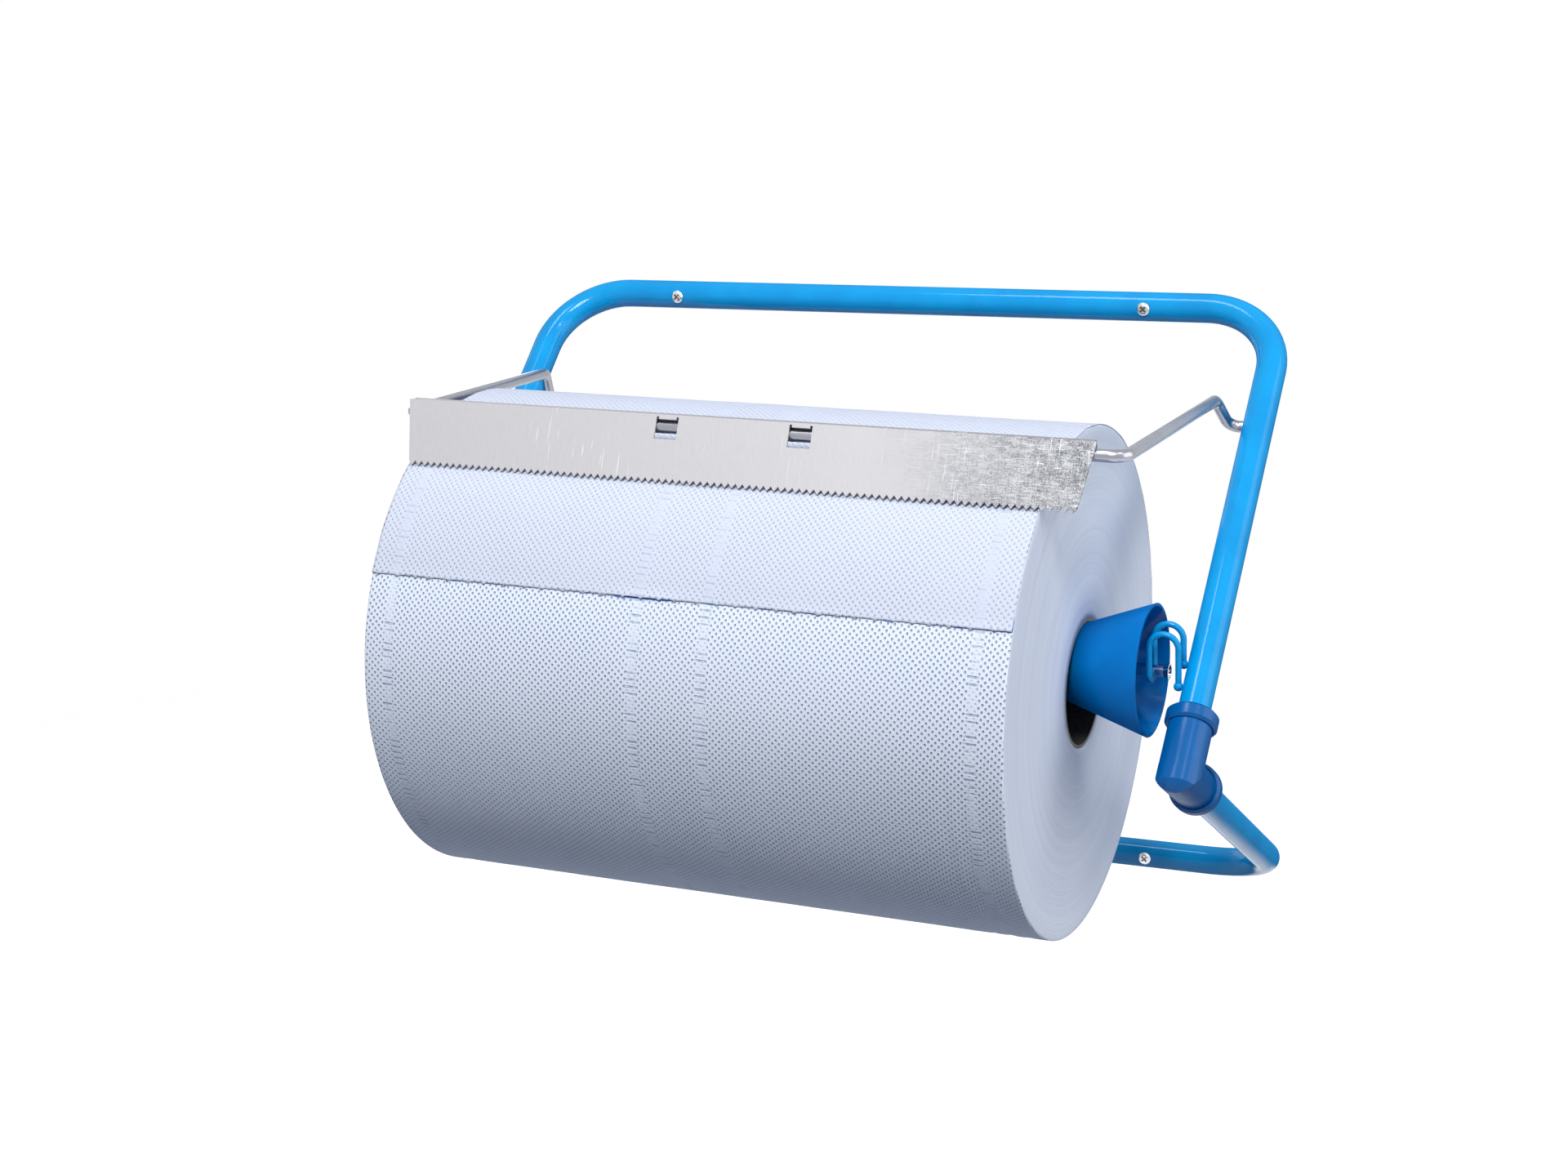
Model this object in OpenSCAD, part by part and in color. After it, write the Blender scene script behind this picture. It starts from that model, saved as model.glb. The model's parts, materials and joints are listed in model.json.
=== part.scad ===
/* [Wall frame] */
// outer diameter of the bent frame tubes
tube_d = 18; // [17:0.25:19]
// wall thickness of the frame tubes
tube_wall = 1.5; // [1.2:0.1:2]
// distance from a roll in the middle to the centre lines of the legs
leg_room = 53; // [52:0.5:60]
// distance between the centre lines of the top and bottom bars
frame_h = 360; // [352:1:366]
// centre-line radius of the corner bends
bend_r = 47; // [42:1:52]
// lean of the upper legs, from the vertical
upper_lean = 49.6; // [48.5:0.1:50.5]
// lean of the lower legs, from the vertical
lower_lean = 59; // [58:0.1:60.5]

/* [Wall screws] */
// distance between the left and right screws
screw_span = 316; // [290:1:340]
// diameter of the screws where they bite into the wall
screw_d = 4; // [3.8:0.1:4.5]
// diameter of the plain necks inside the bars
neck_d = 3.4; // [3:0.1:3.6]
// distance from the bars' backs to where the necks end
neck_over = 0.3; // [0.2:0.05:0.5]
// diameter of the screw heads
head_d = 8; // [7.5:0.1:9]
// height of the screw heads
head_h = 2.2; // [1.8:0.1:2.6]
// length of the screws under their heads
screw_len = 30; // [28:1:60]
// width of each arm of the cross recess
recess_w = 1.1; // [0.9:0.1:1.4]
// span of the cross recess
recess_span = 4.4; // [3.6:0.1:5]
// depth of the cross recess
recess_depth = 1.4; // [1:0.1:1.6]
// depth of the flat pressed into the tube under each head
seat_depth = 0.7; // [0.5:0.05:0.9]
// radial clearance of the screws in the tube holes
screw_clear = 0.2; // [0.15:0.05:0.4]

/* [Elbows] */
// outer diameter of the elbow limbs
elbow_d = 24.5; // [23.5:0.25:26]
// distance from the elbow corner to the upper collar's mouth
upper_arm = 38; // [36:0.5:42]
// distance from the elbow corner to the lower collar's mouth
lower_arm = 44; // [41:0.5:47]
// diameter of the collars
collar_d = 29.2; // [28.4:0.1:30]
// length of the collars along the limb
collar_h = 9; // [8:0.5:10]
// rounding of the collar edges
collar_round = 1.5; // [0.8:0.1:2]
// radius that rounds off the mitred outer corner
elbow_nose_r = 15.5; // [14.5:0.25:17]
// distance from the elbow corner to the tube ends
tube_stop = 18; // [17:0.5:22]
// bore of the passage between the two sockets
passage_d = 13; // [11:0.5:14]
// radial clearance of the tubes in the sockets
socket_clear = 0.05; // [0.03:0.01:0.1]

/* [Axle and hooks] */
// outer diameter of the axle tube
axle_d = 7; // [6.6:0.1:7.2]
// wall thickness of the axle tube
axle_wall = 1; // [0.8:0.1:1.2]
// gap between the axle ends and the legs
axle_gap = 8; // [6:0.5:10]
// diameter of the flared axle ends
flare_d = 9.4; // [8.6:0.1:9.8]
// length of the flare
flare_len = 3; // [2.5:0.1:4]
// distance from the elbow corners back to the axle
axle_back = 43.9; // [43:0.1:45]
// height of the axle above the elbow corners
axle_lift = 43; // [42:0.1:44.5]
// diameter of the hook wire
wire_d = 3.5; // [3.2:0.1:3.8]
// clearance between the axle and the cradle wire
cradle_clear = 0.3; // [0.25:0.05:0.5]
// distance from the leg's inner side to the inner hook legs
hook_reach = 18.3; // [17.5:0.1:19]
// height of the front arch bend above the axle
front_arch_up = 14.6; // [13.5:0.1:16]
// height of the rear arch bend above the axle
rear_arch_up = 17.4; // [16.5:0.1:19]
// radius of the weld beads
weld_r = 2.7; // [2.4:0.1:3]
// height of the welds above the leg's centre line
weld_up = 4; // [3:0.25:5]

/* [Cones] */
// diameter of the cone mouths
cone_mouth_d = 75; // [74:0.5:76]
// diameter of the small cone ends
cone_tip_d = 18; // [16:0.5:20]
// length of the cones
cone_len = 81.5; // [79:0.5:84]
// wall thickness of the cones
cone_wall = 1.6; // [1.4:0.1:2]
// diameter of the hub inside the cone
hub_d = 12; // [11:0.5:13]
// length of the hub
hub_len = 18; // [14:1:24]
// radial clearance of the hubs on the axle
hub_clear = 0.05; // [0.03:0.01:0.08]
// how far the right cone stands out of the roll
right_cone_out = 39.4; // [38:0.1:40.5]
// how far the left cone stands out of the roll
left_cone_out = 23.5; // [22.5:0.1:24.5]

/* [Paper roll] */
// length of the roll
roll_len = 380; // [374:1:384]
// diameter of the roll
roll_d = 291; // [270:1:291]
// inner diameter of the cardboard core
core_d = 70; // [69.5:0.1:71]
// wall thickness of the cardboard core
core_wall = 2; // [1.5:0.1:3]
// offset of the roll to the left along the axle
roll_shift = 13.1; // [12:0.1:14]
// gap between the cones and the core's edges
core_gap = 0.4; // [0.35:0.05:0.8]

/* [Tear bar] */
// diameter of the bail rod
rod_d = 7; // [6.6:0.1:7.2]
// distance of the pivot from the upper corner, along the leg
pivot_along = 89.4; // [88.5:0.1:90.5]
// radial clearance of the rod in the pivot holes
pivot_clear = 0.06; // [0.04:0.01:0.09]
// distance from the legs in to the bail arms, at their cranks
arm_gap = 13; // [12.2:0.1:14]
// how much each end of the front bar is drawn in from the arms
bar_draw = 7; // [5.5:0.1:8]
// how far the front bar stands to the right
bar_skew = 6; // [5:0.25:7]
// reach of the front bar from the pivot, with the arms held level
bar_reach = 203.4; // [200:0.1:207]
// height of the front bar above the pivot, with the arms held level
bar_rise = 27.4; // [25:0.1:30]
// clearance at which the blade rests over the paper
paper_gap = 0.58; // [0.35:0.01:1]
// reach of the crank's upper corner, from the pivot
crank_reach = 13.8; // [12.5:0.1:15]
// height of the crank's upper corner above the pivot
crank_rise = 17.8; // [17:0.1:19]
// distance from the arms out to the crank's lower corners
crank_splay = 5; // [4.5:0.1:5.3]
// centre-line radius of the rod bends
rod_bend_r = 8; // [7.5:0.1:8.2]

/* [Tear blade] */
// thickness of the blade sheet
sheet_t = 1; // [0.8:0.05:1.2]
// lean of the blade face, lower edge to the front
blade_lean = 24.5; // [22:0.1:30]
// height of the blade face
blade_h = 38.5; // [36:0.5:39]
// how far the blade's upper fold reaches past each end of a roll in the middle
blade_over = 15.5; // [12:0.25:17]
// how much each end is drawn in at the lower edge
blade_inset = 4.7; // [4:0.1:8]
// pitch of the teeth
tooth_pitch = 4.2; // [3.6:0.1:5]
// depth of the teeth
tooth_depth = 2.6; // [2:0.1:3]
// distance from the fold down to the rod, along the face
fold_to_rod = 6.2; // [6:0.1:7.5]
// length of the folded top flange
flange_len = 3.6; // [3:0.1:4.5]
// outer radius of the curl behind the flange
curl_r = 4.5; // [4:0.1:5]
// how far the flange and curl stop short of each end of the fold
curl_in = 2.2; // [2:0.1:3]
// length of the lip below the curl
lip_len = 4; // [3:0.5:5]
// width of the two clip windows
clip_w = 13.5; // [12:0.5:18]
// distance between the middles of the clip windows
clip_span = 80; // [60:1:110]
// gap at either side of a clip tongue
clip_side = 1.4; // [1:0.1:2]
// opening under the rod in each clip window
clip_drop = 4.2; // [3.5:0.1:5]
// strip of the face between the clip slots and the fold
clip_strip = 1.2; // [1:0.1:1.5]
// clearance between the rod and the blade
clip_clear = 0.05; // [0.03:0.01:0.1]

/* [Hidden] */
$fn = 48;
// overlap of straight lengths and bends, and the hair by which bends are thicker
lap = 0.2;
swell = 0.03;
// height of the moulding ridge round the mitred nose of the elbows
ridge = 0.2;
frame_w = roll_len + 2 * leg_room;
half_w = frame_w / 2;
half_h = frame_h / 2;
bar_y = -tube_d / 2;
leg_in = half_w - tube_d / 2;
// depth of the elbow corners in front of the bars, where the upper and lower legs meet
elbow_out = frame_h / (1 / tan(upper_lean) + 1 / tan(lower_lean));
elbow_y = bar_y - elbow_out;
elbow_z = half_h - elbow_out / tan(upper_lean);
up_dir = [0, sin(upper_lean), cos(upper_lean)];
low_dir = [0, sin(lower_lean), -cos(lower_lean)];
axle_y = elbow_y + axle_back;
axle_z = elbow_z + axle_lift;
pivot_y = bar_y - pivot_along * sin(upper_lean);
pivot_z = half_h - pivot_along * cos(upper_lean);
axle_len = 2 * (leg_in - axle_gap);
wire_r = wire_d / 2;
cradle_r = axle_d / 2 + cradle_clear + wire_r;
hook_x = leg_in - hook_reach;
arch_r = (hook_reach - wire_r) / 2;
cone_slope = (cone_mouth_d - cone_tip_d) / 2 / cone_len;
right_face = roll_len / 2 - roll_shift;
left_face = roll_len / 2 + roll_shift;
right_mouth = right_face + right_cone_out;
left_mouth = left_face + left_cone_out;
// drop of the roll's axis below the axle at each end, where the core's edge hangs on the cone
right_drop = core_d / 2 - core_gap - cone_mouth_d / 2 + (right_mouth - right_face) * cone_slope;
left_drop = core_d / 2 - core_gap - cone_mouth_d / 2 + (left_mouth - left_face) * cone_slope;
roll_tilt = atan((right_drop - left_drop) / roll_len);
roll_z = axle_z - (right_drop + left_drop) / 2;
bar_pos = [0, pivot_y - bar_reach, pivot_z + bar_rise];
arm_x = leg_in - arm_gap;
bar_span = 2 * (arm_x - bar_draw);
blade_len = roll_len + 2 * blade_over;
rod_in = sheet_t + clip_clear + rod_d / 2;
rod_at = blade_h - fold_to_rod;
clip_over = rod_at + rod_d / 2 + clip_clear;
// from the pivot: the roll's axis, and the blade's lower edge with the arms level
to_axis = [axle_y - pivot_y, roll_z - roll_shift * tan(roll_tilt) - pivot_z];
to_edge = [-bar_reach - rod_at * sin(blade_lean) - (rod_in - sheet_t) * cos(blade_lean),
           bar_rise - rod_at * cos(blade_lean) + (rod_in - sheet_t) * sin(blade_lean)];
touch = roll_d / 2 + paper_gap;
// turn of the bail about its pivot that brings the blade to rest over the paper
swing = acos((norm(to_axis) ^ 2 + norm(to_edge) ^ 2 - touch ^ 2) / (2 * norm(to_axis) * norm(to_edge)))
        - acos(to_axis * to_edge / (norm(to_axis) * norm(to_edge)));
teeth = floor((blade_len - 2 * blade_inset) / tooth_pitch);

function unit(v) = v / norm(v);

// round bar from one point to another
module straight(a, b, d) {
    v = b - a;
    translate(a)
        rotate([0, acos(v.z / norm(v)), atan2(v.y, v.x)])
            cylinder(h = norm(v), d = d);
}

// round bend at corner b between the directions to a and c
module bend(a, b, c, r, d) {
    u = unit(a - b);
    w = unit(c - b);
    open = acos(u * w);
    mid = b + unit(u + w) * r / sin(open / 2);
    e1 = unit(b + u * r / tan(open / 2) - mid);
    e2 = -u;
    e3 = cross(e1, e2);
    multmatrix([[e1.x, e2.x, e3.x, mid.x],
                [e1.y, e2.y, e3.y, mid.y],
                [e1.z, e2.z, e3.z, mid.z],
                [0, 0, 0, 1]])
        rotate_extrude(angle = 180 - open)
            translate([r, 0])
                circle(d = d + swell);
}

// length that a bend takes from each side of corner i
function setback(p, i, r) =
    i == 0 || i == len(p) - 1 ? 0 : r / tan(acos(unit(p[i - 1] - p[i]) * unit(p[i + 1] - p[i])) / 2);

// round bar along a line of corners, each with the same bend radius
module bent_bar(p, r, d) {
    for (i = [0 : len(p) - 2]) {
        v = unit(p[i + 1] - p[i]);
        from = i == 0 ? 0 : setback(p, i, r) - lap;
        to = i == len(p) - 2 ? 0 : setback(p, i + 1, r) - lap;
        straight(p[i] + v * from, p[i + 1] - v * to, d);
    }
    for (i = [1 : len(p) - 2])
        bend(p[i - 1], p[i], p[i + 1], r, d);
}

// corner line of a bow; more lengthens its open ends
function bow(z, dir, more) =
    let (end = [0, elbow_y, elbow_z] + dir * (tube_stop - more))
    [[-half_w, end.y, end.z], [-half_w, bar_y, z], [half_w, bar_y, z], [half_w, end.y, end.z]];

module screw_holes(z) {
    for (s = [-1, 1])
        translate([s * screw_span / 2, 0, z])
            rotate([90, 0, 0]) {
                translate([0, 0, -1])
                    cylinder(h = tube_d + 2, d = screw_d + 2 * screw_clear);
                translate([0, 0, tube_d - seat_depth])
                    cylinder(h = 3, d = head_d + 2 * screw_clear);
            }
}

module upper_frame() {
    color([0.05, 0.47, 0.86])
    difference() {
        bent_bar(bow(half_h, up_dir, 0), bend_r, tube_d);
        bent_bar(bow(half_h, up_dir, 2), bend_r, tube_d - 2 * tube_wall);
        screw_holes(half_h);
        for (s = [-1, 1])
            translate([s * half_w, pivot_y, pivot_z])
                rotate([0, -90 * s, 0])
                    cylinder(h = tube_d, d = rod_d + 2 * pivot_clear);
    }
}

module lower_frame() {
    color([0.05, 0.47, 0.86])
    difference() {
        bent_bar(bow(-half_h, low_dir, 0), bend_r, tube_d);
        bent_bar(bow(-half_h, low_dir, 2), bend_r, tube_d - 2 * tube_wall);
        screw_holes(-half_h);
    }
}

// limb of the elbow along +Z from its corner, with its collar
module limb(arm) {
    cylinder(h = arm - collar_h / 2, d = elbow_d);
    translate([0, 0, arm - collar_h])
        rotate_extrude()
            polygon([[0, 0],
                     [collar_d / 2 - collar_round, 0],
                     [collar_d / 2, collar_round],
                     [collar_d / 2, collar_h - collar_round],
                     [collar_d / 2 - collar_round, collar_h],
                     [0, collar_h]]);
}

module elbow() {
    color([0.02, 0.33, 0.66])
    difference() {
        union() {
            rotate([-upper_lean, 0, 0])
                limb(upper_arm);
            rotate([lower_lean - 180, 0, 0])
                limb(lower_arm);
            intersection() {
                rotate([-upper_lean, 0, 0])
                    cylinder(h = 4 * elbow_d, d = elbow_d + ridge, center = true);
                rotate([lower_lean, 0, 0])
                    cylinder(h = 4 * elbow_d, d = elbow_d + ridge, center = true);
                sphere(r = elbow_nose_r);
            }
        }
        rotate([-upper_lean, 0, 0])
            socket();
        rotate([lower_lean - 180, 0, 0])
            socket();
        sphere(d = passage_d);
    }
}

// bore along +Z that takes a tube end
module socket() {
    translate([0, 0, tube_stop])
        cylinder(h = lower_arm, d = tube_d + 2 * socket_clear);
    cylinder(h = tube_stop + 1, d = passage_d);
}

module left_elbow() {
    translate([-half_w, elbow_y, elbow_z])
        elbow();
}

module right_elbow() {
    translate([half_w, elbow_y, elbow_z])
        elbow();
}

// height of the upper leg's centre line at depth y
function leg_z(y) = half_h - (bar_y - y) / tan(upper_lean);

// one arch of the hook, in a plane across the leg
module arch(y, up) {
    inner = [hook_x, y, axle_z - lap];
    outer = [leg_in - wire_r, y, leg_z(y) + weld_up];
    straight(inner, [hook_x, y, axle_z + up + lap], wire_d);
    straight(outer, [leg_in - wire_r, y, axle_z + up + lap], wire_d);
    translate([hook_x + arch_r, y, axle_z + up])
        rotate([90, 0, 0])
            rotate_extrude(angle = 180)
                translate([arch_r, 0])
                    circle(d = wire_d + swell);
    translate(outer)
        sphere(r = weld_r);
}

module hook() {
    color([0.05, 0.47, 0.86])
    difference() {
        union() {
            arch(axle_y - cradle_r, front_arch_up);
            arch(axle_y + cradle_r, rear_arch_up);
            translate([hook_x, axle_y, axle_z])
                rotate([0, 90, 0])
                    rotate([0, 0, -90])
                        rotate_extrude(angle = 180)
                            translate([cradle_r, 0])
                                circle(d = wire_d + swell);
        }
        straight([half_w, bar_y, half_h], [half_w, elbow_y, elbow_z], tube_d);
    }
}

module left_axle_hook() {
    mirror([1, 0, 0])
        hook();
}

module right_axle_hook() {
    hook();
}

module axle_tube() {
    ro = axle_d / 2;
    ri = ro - axle_wall;
    h = axle_len / 2;
    f = flare_d / 2;
    color([0.72, 0.72, 0.74])
    translate([0, axle_y, axle_z])
        rotate([0, 90, 0])
            rotate_extrude()
                polygon([[ri, flare_len - h], [f - axle_wall, -h], [f, -h], [ro, flare_len - h],
                         [ro, h - flare_len], [f, h], [f - axle_wall, h], [ri, h - flare_len]]);
}

// cone along +Z, its mouth at the origin and its small end below
module cone() {
    ro = cone_mouth_d / 2;
    rt = cone_tip_d / 2;
    rb = axle_d / 2 + hub_clear;
    skin = cone_wall / cos(atan(cone_slope));
    floor_z = cone_wall * 1.5 - cone_len;
    color([0.03, 0.4, 0.78])
    rotate_extrude()
        polygon([[rb, -cone_len], [rt, -cone_len], [ro, 0], [ro - skin, 0],
                 [rt - skin + (floor_z + cone_len) * cone_slope, floor_z],
                 [hub_d / 2, floor_z], [hub_d / 2, hub_len - cone_len], [rb, hub_len - cone_len]]);
}

module left_cone() {
    translate([-left_mouth, axle_y, axle_z])
        rotate([0, -90, 0])
            cone();
}

module right_cone() {
    translate([right_mouth, axle_y, axle_z])
        rotate([0, 90, 0])
            cone();
}

// bail piece turned about the pivot
module swung() {
    translate([0, pivot_y, pivot_z])
        rotate([-swing, 0, 0])
            translate([0, -pivot_y, -pivot_z])
                children();
}

// corners of the bail on side s, from the front bar to the end in the leg
function side(s) =
    [bar_pos + [bar_skew + s * bar_span / 2 * cos(roll_tilt), 0, -s * bar_span / 2 * sin(roll_tilt)],
     [s * arm_x, pivot_y - crank_reach, pivot_z + crank_rise],
     [s * (arm_x + crank_splay), pivot_y, pivot_z],
     [s * (half_w + 2), pivot_y, pivot_z]];

module tear_bar_rod() {
    left = side(-1);
    color([0.75, 0.76, 0.78])
    swung()
        bent_bar(concat([left[3], left[2], left[1], left[0]], side(1)), rod_bend_r, rod_d);
}

// outline of the blade face, lower edge with teeth
module face_outline() {
    top = blade_len / 2;
    low = teeth * tooth_pitch / 2;
    polygon(concat([[-top, blade_h], [-low, tooth_depth]],
                   [for (i = [0 : teeth - 1], s = [0.5, 1])
                       [-low + (i + s) * tooth_pitch, s == 1 ? tooth_depth : 0]],
                   [[top, blade_h]]));
}

// tongue bent in over the rod and rolled down behind it
module tongue() {
    wide = clip_w - 2 * clip_side;
    inner = rod_d / 2 + clip_clear;
    outer = inner + sheet_t;
    translate([-wide / 2, 0, clip_over])
        cube([wide, rod_in, sheet_t]);
    translate([-wide / 2, rod_in, rod_at])
        intersection() {
            rotate([0, 90, 0])
                difference() {
                    cylinder(h = wide, r = outer);
                    translate([0, 0, -1])
                        cylinder(h = wide + 2, r = inner);
                }
            translate([0, 0, -rod_d / 4])
                cube([wide, outer, outer + rod_d / 4]);
        }
}

// window round a clip tongue, with a slot up each side of it
module clip_window() {
    low = rod_at - rod_d / 2 - clip_drop;
    translate([-clip_w / 2, -1, low])
        cube([clip_w, sheet_t + 2, clip_over - low]);
    for (t = [-1, 1])
        translate([t * (clip_w - clip_side) / 2 - clip_side / 2, -1, low])
            cube([clip_side, sheet_t + 2, blade_h - clip_strip - low]);
}

module tear_blade() {
    color([0.78, 0.79, 0.8])
    swung()
    translate(bar_pos + [0, 0, bar_skew * sin(roll_tilt)])
        rotate([-blade_lean, roll_tilt, 0])
            translate([0, -rod_in, -rod_at]) {
                difference() {
                    translate([0, sheet_t, 0])
                        rotate([90, 0, 0])
                            linear_extrude(height = sheet_t)
                                face_outline();
                    for (s = [-1, 1])
                        translate([s * clip_span / 2, 0, 0])
                            clip_window();
                }
                for (s = [-1, 1])
                    translate([s * clip_span / 2, 0, 0])
                        tongue();
                translate([0, 0, blade_h])
                    rotate([blade_lean, 0, 0])
                        curl();
            }
}

// top flange, level, with its curl and lip behind
module curl() {
    len = blade_len - 2 * curl_in;
    translate([-len / 2, 0, -sheet_t])
        cube([len, flange_len, sheet_t]);
    translate([-len / 2, flange_len, -curl_r])
        intersection() {
            rotate([0, 90, 0])
                difference() {
                    cylinder(h = len, r = curl_r);
                    translate([0, 0, -1])
                        cylinder(h = len + 2, r = curl_r - sheet_t);
                }
            cube([len, curl_r, curl_r]);
        }
    translate([-len / 2, flange_len + curl_r - sheet_t, -curl_r - lip_len])
        cube([len, sheet_t, lip_len]);
}

// ring about the roll's own axis
module ring(length, outer, inner) {
    translate([-roll_shift, axle_y, roll_z])
        rotate([0, 90 + roll_tilt, 0])
            rotate_extrude($fn = 120)
                polygon([[inner / 2, -length / 2], [outer / 2, -length / 2],
                         [outer / 2, length / 2], [inner / 2, length / 2]]);
}

module paper_roll() {
    color([0.8, 0.85, 0.93])
        ring(roll_len, roll_d, core_d + 2 * core_wall);
}

module cardboard_core() {
    color([0.66, 0.62, 0.56])
        ring(roll_len, core_d + 2 * core_wall, core_d);
}

module screw(x, z) {
    back = tube_d - seat_depth;
    color([0.75, 0.75, 0.77])
    translate([x, -tube_d + seat_depth, z])
        rotate([90, 0, 0])
            difference() {
                rotate_extrude()
                    polygon([[0, -screw_len],
                             [screw_d / 2, screw_d - screw_len],
                             [screw_d / 2, -back - neck_over],
                             [neck_d / 2, -back - neck_over],
                             [neck_d / 2, 0],
                             [head_d / 2, 0],
                             [head_d / 2, head_h * 0.45],
                             [head_d / 2 * 0.8, head_h * 0.85],
                             [head_d / 2 * 0.55, head_h],
                             [0, head_h]]);
                for (a = [45, 135])
                    rotate([0, 0, a])
                        translate([-recess_span / 2, -recess_w / 2, head_h - recess_depth])
                            cube([recess_span, recess_w, recess_depth + 1]);
            }
}

module top_left_screw() {
    screw(-screw_span / 2, half_h);
}

module top_right_screw() {
    screw(screw_span / 2, half_h);
}

module bottom_left_screw() {
    screw(-screw_span / 2, -half_h);
}

module bottom_right_screw() {
    screw(screw_span / 2, -half_h);
}

upper_frame();
lower_frame();
left_elbow();
right_elbow();
left_axle_hook();
right_axle_hook();
axle_tube();
left_cone();
right_cone();
tear_bar_rod();
tear_blade();
paper_roll();
cardboard_core();
top_left_screw();
top_right_screw();
bottom_left_screw();
bottom_right_screw();
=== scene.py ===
import json
import math
import bmesh
import bpy
from mathutils import Matrix, Vector, noise


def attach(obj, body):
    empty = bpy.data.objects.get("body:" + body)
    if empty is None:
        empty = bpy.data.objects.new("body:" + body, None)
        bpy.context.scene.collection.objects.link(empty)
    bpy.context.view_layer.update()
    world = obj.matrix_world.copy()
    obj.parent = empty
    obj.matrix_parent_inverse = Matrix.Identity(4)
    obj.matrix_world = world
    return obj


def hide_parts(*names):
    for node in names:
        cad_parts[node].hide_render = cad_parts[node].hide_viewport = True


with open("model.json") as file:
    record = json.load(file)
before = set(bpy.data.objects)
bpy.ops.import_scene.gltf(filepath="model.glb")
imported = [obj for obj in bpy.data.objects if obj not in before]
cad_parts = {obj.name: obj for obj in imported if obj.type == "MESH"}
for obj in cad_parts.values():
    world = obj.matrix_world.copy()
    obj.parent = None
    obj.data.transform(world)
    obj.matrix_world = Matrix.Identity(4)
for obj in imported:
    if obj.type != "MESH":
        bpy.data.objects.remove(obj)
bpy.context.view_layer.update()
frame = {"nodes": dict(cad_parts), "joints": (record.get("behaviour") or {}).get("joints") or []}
nodes = frame["nodes"]
joints = {joint["name"]: joint for joint in frame["joints"]}
scene = bpy.context.scene
tau = 2 * math.pi
hair = 1e-6  # metres within which two points are one
print("frame loaded:", len(nodes), "nodes")


def linear(red, green, blue):  # screen colour, 0 to 255, as light
    parts = [part / 255 for part in (red, green, blue)]
    return [p / 12.92 if p <= 0.04045 else ((p + 0.055) / 1.055) ** 2.4 for p in parts] + [1.0]


class Wire:  # a socket that does sums
    def __init__(self, finish, socket):
        self.finish = finish
        self.socket = socket

    def maths(self, operation, *terms):
        return self.finish.node("ShaderNodeMath", {"operation": operation}, dict(enumerate(terms)))

    def __add__(self, other):
        return self.maths("ADD", self, other)

    __radd__ = __add__

    def __sub__(self, other):
        return self.maths("SUBTRACT", self, other)

    def __rsub__(self, other):
        return self.maths("SUBTRACT", other, self)

    def __mul__(self, other):
        return self.maths("MULTIPLY", self, other)

    __rmul__ = __mul__

    def __abs__(self):
        return self.maths("ABSOLUTE", self)


# In the finishes a scale is per metre, a window is where a pattern starts and where it is at its full,
# and a share is how much of it shows.

clearCoat = {
    "thinning": (0.35, 0.8),        # from face-on towards the rim
    "rimShare": 0.12,               # of the coat, left at the rim
    "underRim": (0.7, 0.8),         # where the extra coat of the undersides starts
    "underSlope": (-0.75, -0.45),   # upward part of the normal there
}


class Finish:  # one material and its nodes
    def __init__(self, tree):
        self.tree = tree
        self.tree.nodes.clear()

    def node(self, kind, settings=None, sockets=None, output=0):
        made = self.tree.nodes.new(kind)
        for name, value in (settings or {}).items():
            setattr(made, name, value)
        for name, value in (sockets or {}).items():
            if isinstance(value, Wire):
                self.tree.links.new(value.socket, made.inputs[name])
            else:
                made.inputs[name].default_value = value
        return Wire(self, made.outputs[output]) if made.outputs else made

    def place(self, kind="Object"):
        return self.node("ShaderNodeTexCoord", output=kind)

    def part(self, vector, axis):
        return self.node("ShaderNodeSeparateXYZ", {}, {0: vector}, axis)

    def normal(self, axis):
        return self.part(self.node("ShaderNodeNewGeometry", output="Normal"), axis)

    def turned(self, vector, move=(0, 0, 0), turn=(0, 0, 0), scale=(1, 1, 1)):
        return self.node("ShaderNodeMapping", {}, {
            "Vector": vector, "Location": move, "Rotation": turn, "Scale": scale})

    def speckle(self, vector, scale, detail=3.0, rough=0.5):
        return self.node("ShaderNodeTexNoise", {"noise_dimensions": "3D"}, {
            "Vector": vector, "Scale": scale, "Detail": detail, "Roughness": rough})

    def streaks(self, vector, scale, detail=3.0, rough=0.5, turn=(0, 0, 0)):  # speckle with a scale per axis
        return self.speckle(self.turned(vector, turn=turn, scale=scale), 1.0, detail, rough)

    def ease(self, value, low, high, start=0.0, end=1.0):
        return self.node("ShaderNodeMapRange", {"interpolation_type": "SMOOTHSTEP"}, {
            "Value": value, "From Min": low, "From Max": high, "To Min": start, "To Max": end})

    def tint(self, share, first, second):
        return self.node("ShaderNodeMix", {"data_type": "RGBA"}, {0: share, 6: first, 7: second}, 2)

    def gloss(self, weight, under=0.0):  # clear coat, thin towards the rim but thick on undersides
        facing = self.node("ShaderNodeLayerWeight", {}, {"Blend": 0.5}, "Facing")
        coat = self.ease(facing, *clearCoat["thinning"], weight, clearCoat["rimShare"] * weight)
        if under:
            extra = self.ease(self.normal("Z"), *clearCoat["underSlope"], under, 0.0)
            coat = coat + self.ease(facing, *clearCoat["underRim"]) * extra
        return coat

    def bump(self, height, depth, strength=1.0):
        return self.node("ShaderNodeBump", {}, {"Height": height, "Distance": depth, "Strength": strength})

    def surface(self, sockets):
        shader = self.node("ShaderNodeBsdfPrincipled", {}, sockets)
        self.node("ShaderNodeOutputMaterial", {}, {"Surface": shader})


def newFinish(name):
    material = bpy.data.materials.new(name)
    material.use_nodes = True
    return material, Finish(material.node_tree)


def dress(nodeName, material):
    mesh = nodes[nodeName].data
    mesh.materials.clear()
    mesh.materials.append(material)


# painted tube

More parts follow.
